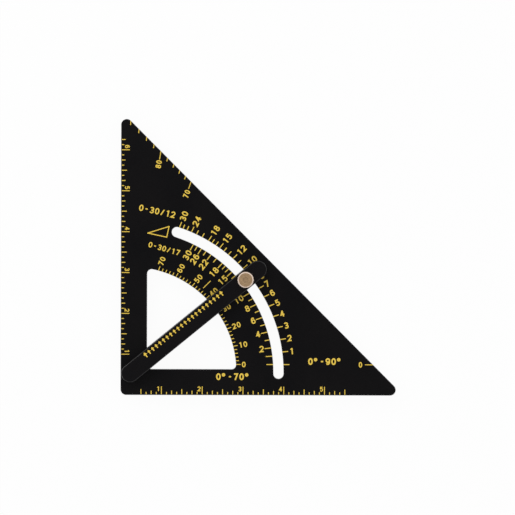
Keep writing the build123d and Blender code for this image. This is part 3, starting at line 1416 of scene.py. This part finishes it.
@dataclass(frozen=True)
class ThumbScrew(SubAssembly):
    """The turned brass screw with its knurled head and threaded shank, about the clamp's axis."""

    brass: TurnedBrass
    head_height: float = 4.6 * MM
    top_break: float = 0.85 * MM
    foot_break: float = 0.4 * MM
    foot_shares: tuple[float, ...] = (0.0, 0.5, 1.0)
    crown: float = 0.06 * MM
    crown_shares: tuple[float, ...] = (0.98, 0.8, 0.6, 0.4)
    dimple: float = 0.05 * MM
    dimple_radius: float = 0.5 * MM
    knurls: int = 36
    knurl_depth: float = 0.3 * MM
    knurl_land: float = 1 / 3
    knurl_runout: int = 3
    points_per_knurl: int = 6
    shank_radius: float = 2.4 * MM
    tip_break: float = 0.5 * MM
    thread_pitch: float = INCH / 24
    thread_depth: float = 0.36 * MM
    thread_root: float = 0.2
    thread_crest: float = 0.96
    rings_per_pitch: int = 10
    shank_coarseness: int = 3

    @cached_property
    def axis(self) -> Vector:
        """The middle of the screw, with Z at its tip."""
        return axis_of("thumb_screw")

    @cached_property
    def top(self) -> float:
        """The level of the head's face."""
        return box("thumb_screw")[1].z

    @cached_property
    def head_radius(self) -> float:
        """The radius over the knurl."""
        low, high = box("thumb_screw")
        return (high.x - low.x) / 2

    @property
    def points(self) -> int:
        """Points in a ring of the head."""
        return self.knurls * self.points_per_knurl

    def lathe(
        self, shape: bmesh.types.BMesh, rings: int, count: int, edge: Callable[[int, float], Point]
    ) -> tuple[Ring, Ring]:
        """Adds a wall of rings about the axis, from the bottom up.

        Args:
            shape: The shape that takes it.
            rings: How many rings there are.
            count: Points in a ring.
            edge: Gives a point's radius and level from its ring's number and its turn, from 0 to 1.

        Returns:
            The lowest and the highest ring, which are open.
        """
        body = []
        for ring in range(rings):
            row = []
            for turn in (index / count for index in range(count)):
                radius, level = edge(ring, turn)
                around = Matrix.Rotation(turn * FULL_TURN, 2) @ Vector((radius, 0.0))
                row.append(shape.verts.new((*(self.axis.xy + around), level)))
            body.append(row)
        for low, high in zip(body, body[1:]):
            for index in range(count):
                after = (index + 1) % count
                shape.faces.new((low[index], low[after], high[after], high[index]))
        return body[0], body[-1]

    def head_outline(self) -> list[Point]:
        """Draws half of the head: eased foot, rim, broad chamfer and a slightly crowned, dimpled face.

        Returns:
            Radius and level of each point, from the foot up.
        """
        foot, top, outer = self.top - self.head_height, self.top, self.head_radius
        face, shoulder = outer - self.top_break, top - self.top_break
        eases = [self.foot_break * share for share in self.foot_shares]
        eased = [(outer - self.foot_break + ease, foot + ease) for ease in eases]
        grooves = [self.knurl_depth * step / self.knurl_runout for step in range(self.knurl_runout + 1)]
        chamfer = [(outer - depth, shoulder + depth) for depth in grooves]
        chamfer.append((face + self.crown, top - self.crown))
        crowned = [(face * share, top - self.crown * share**2) for share in self.crown_shares]
        dimpled = [(self.dimple_radius, top), (self.dimple_radius / 2, top - self.dimple)]
        return eased + chamfer + crowned + dimpled

    def head(self, shape: bmesh.types.BMesh) -> tuple[Ring, Ring]:
        """Adds the head, with grooves that run out over its chamfers.

        Args:
            shape: The shape that takes it.

        Returns:
            The rings at its foot and at its dimple.
        """
        outline = self.head_outline()

        def knurled(ring: int, turn: float) -> Point:
            """Keeps a point of the outline out of the knurl's grooves.

            Args:
                ring: The point's place in the outline.
                turn: Its place in the turn, from 0 to 1.

            Returns:
                Its radius and level.
            """
            radius, level = outline[ring]
            groove = zigzag(turn * self.knurls)
            depth = self.knurl_depth * clamp((groove - self.knurl_land) / (1 - self.knurl_land))
            return min(radius, self.head_radius - depth), level

        return self.lathe(shape, len(outline), self.points, knurled)

    def shank(self, shape: bmesh.types.BMesh) -> tuple[Ring, Ring]:
        """Adds the shank, with a right-handed thread that runs out below the head.

        Args:
            shape: The shape that takes it.

        Returns:
            The rings at its tip and at its neck.
        """
        tip, end = self.axis.z, self.top - self.head_height
        spaces = round((end - tip) / self.thread_pitch * self.rings_per_pitch)

        def threaded(ring: int, turn: float) -> Point:
            """Cuts the thread's groove and the broken edge of the tip.

            Args:
                ring: The ring's place, from the tip up.
                turn: The point's place in the turn, from 0 to 1.

            Returns:
                Its radius and level.
            """
            level = tip + (end - tip) * ring / spaces
            phase = zigzag(level / self.thread_pitch - turn)
            depth = clamp((self.thread_crest - phase) / (self.thread_crest - self.thread_root))
            fade = clamp((end - level) / self.thread_pitch - 1)
            cone = self.shank_radius - self.tip_break + (level - tip)
            return min(self.shank_radius - self.thread_depth * depth * fade, cone), level

        return self.lathe(shape, spaces + 1, self.points // self.shank_coarseness, threaded)

    def dress(self) -> Pieces:
        """Gives the plain solid, which the turned screw stands for, its brass."""
        return self.brass.cover("thumb_screw")

    def build(self) -> Pieces:
        """Makes the screw, as one closed body, in place of its plain solid.

        Returns:
            The screw.
        """
        shape = bmesh.new()
        tip, neck = self.shank(shape)
        foot, face = self.head(shape)
        shape.faces.new(tip[::-1])
        shape.faces.new(face)
        for index, vertex in enumerate(neck):
            start = (index + 1) * self.shank_coarseness
            outer = [foot[(start - step) % self.points] for step in range(self.shank_coarseness + 1)]
            shape.faces.new((vertex, neck[(index + 1) % len(neck)], *outer))
        piece = settle(shape, "turned_thumb_screw", Body.THUMB_SCREW, self.brass)
        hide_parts("thumb_screw")
        return [piece]


# Studio


@dataclass(frozen=True)
class WhiteFloor(Finish):
    """A matt white floor that keeps a soft shadow and can be looked through from below."""

    name: str = "white_floor"
    colour: Colour = (0.86, 0.86, 0.86)
    worn: Colour = (0.843, 0.843, 0.843)
    grain: Pattern = Pattern(900.0, detail=3.0)
    glow: float = 0.95

    def paint(self, shader: Shader) -> None:
        """Fills an empty node tree.

        Args:
            shader: The tree.
        """
        tone = shader.mix(shader.noise(shader.place(), self.grain), self.worn, self.colour)
        matt = shader.principled(Base_Color=tone, Roughness=1.0, Specular_IOR_Level=0.0)
        white = shader.node("ShaderNodeEmission", {}, {"Color": WHITE})
        lit = shader.blend(shader.rays(*Ray) * self.glow, matt, white)
        below = shader.node("ShaderNodeNewGeometry").outputs["Backfacing"]
        shader.output(shader.blend(below, lit, shader.node("ShaderNodeBsdfTransparent")))


@dataclass(frozen=True)
class Softbox:
    """A lamp with a long, soft face that looks at the middle of the tool."""

    name: str
    place: Axes
    power: float
    size: Span = (1.3, 0.5)

    def build(self, target: Vector) -> None:
        """Hangs the lamp.

        Args:
            target: The point that it faces.
        """
        light = bpy.data.lights.new(self.name, "AREA")
        light.shape = "RECTANGLE"
        light.size, light.size_y = self.size
        light.energy = self.power
        lamp = set_out(self.name, light)
        lamp.location = target + Vector(self.place)
        lamp.rotation_euler = (-Vector(self.place)).to_track_quat("-Z", "Y").to_euler()


@dataclass(frozen=True)
class Studio:
    """A white floor, soft lamps, a white surround and the camera above the tool."""

    floor_finish: WhiteFloor = WhiteFloor()
    floor_size: float = 8.0
    floor_drop: float = 0.05 * MM
    ambient: float = 0.7
    zenith: float = 0.13
    falloff: float = 1.7
    view_centre: Point = (78.61 * MM, 71.90 * MM)
    view_width: float = 320.3 * MM
    view_distance: float = 1100.0 * MM
    sensor: float = 36.0
    lean: Span = (math.radians(-0.85), math.radians(1.22))
    roll: float = math.radians(0.236)
    softboxes: tuple[Softbox, ...] = (
        Softbox("key_softbox", place=(-0.62, 0.76, 0.69), power=5.5),
        Softbox("fill_softbox", place=(0.62, -0.76, 0.69), power=1.5),
    )

    @property
    def target(self) -> Vector:
        """The point of the printed face in the middle of the view."""
        return Vector((*self.view_centre, box("square_plate")[1].z))

    def floor(self) -> None:
        """Lays the floor just under the tool."""
        shape = bmesh.new()
        bmesh.ops.create_grid(shape, x_segments=1, y_segments=1, size=self.floor_size / 2)
        floor = cast(shape, "floor", self.floor_finish)
        floor.location = (*self.view_centre, CAD_BOX[0].z - self.floor_drop)

    def surround(self) -> None:
        """Makes an even white surround, mirrored as white at the horizon and as a dark ceiling overhead."""
        world = bpy.data.worlds.new("white_surround")
        shader = Shader(world)
        ray = shader.node("ShaderNodeTexCoord").outputs["Generated"]
        height = abs(shader.value(shader.node("ShaderNodeSeparateXYZ", {}, {0: ray}), 2))
        mirrored = shader.rays(Ray.GLOSSY, Ray.TRANSMISSION)
        mirror = ((1 - height) ** self.falloff).between(self.zenith, 1.0)
        glow = mirrored.between(self.ambient, mirror)
        strength = shader.rays(Ray.CAMERA).between(glow, 1.0)
        sky = shader.node("ShaderNodeBackground", {}, {"Color": WHITE, "Strength": strength})
        shader.output(sky, "ShaderNodeOutputWorld")
        bpy.context.scene.world = world

    def camera(self) -> None:
        """Hangs the camera above the printed face, leaning a little to the left and to the top."""
        data = bpy.data.cameras.new("camera")
        data.sensor_width = self.sensor
        data.lens = self.sensor * self.view_distance / self.view_width
        camera = set_out("camera", data)
        back = Vector((math.sin(self.lean[0]), math.sin(self.lean[1]), 1.0)).normalized()
        right = Vector((0.0, 1.0, 0.0)).cross(back).normalized()
        turn = Matrix((right, back.cross(right), back)).transposed() @ Matrix.Rotation(self.roll, 3, "Z")
        camera.location = self.target + back * self.view_distance
        camera.rotation_euler = turn.to_euler()
        bpy.context.scene.camera = camera

    def build(self) -> None:
        """Sets up the whole studio."""
        self.floor()
        self.surround()
        for softbox in self.softboxes:
            softbox.build(self.target)
        self.camera()
        bpy.context.scene.view_settings.view_transform = "Standard"


def main() -> None:
    """Dresses and builds every sub-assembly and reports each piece."""
    logging.basicConfig(level=logging.INFO, format="%(name)s: %(message)s")
    pivot_axis, clamp_axis = axis_of("pivot_post"), axis_of("thumb_screw")
    ink, nylon, brass = PrintedInk(), BlackNylon(), TurnedBrass("turned_brass", clamp_axis)
    assemblies = (
        SquarePlate(ink),
        ArmPair(ink),
        PivotStack(ZincPlate("zinc_plated_steel", pivot_axis), nylon),
        ClampStack(ZincPlate("zinc_plated_washer", clamp_axis), brass, nylon),
        ThumbScrew(brass),
    )
    for assembly in assemblies:
        for piece in assembly.dress() + assembly.build():
            LOG.info("%s: %s, %d faces", piece.name, piece.material_slots[0].name, len(piece.data.polygons))
    Studio().build()


if __name__ == "__main__":
    main()
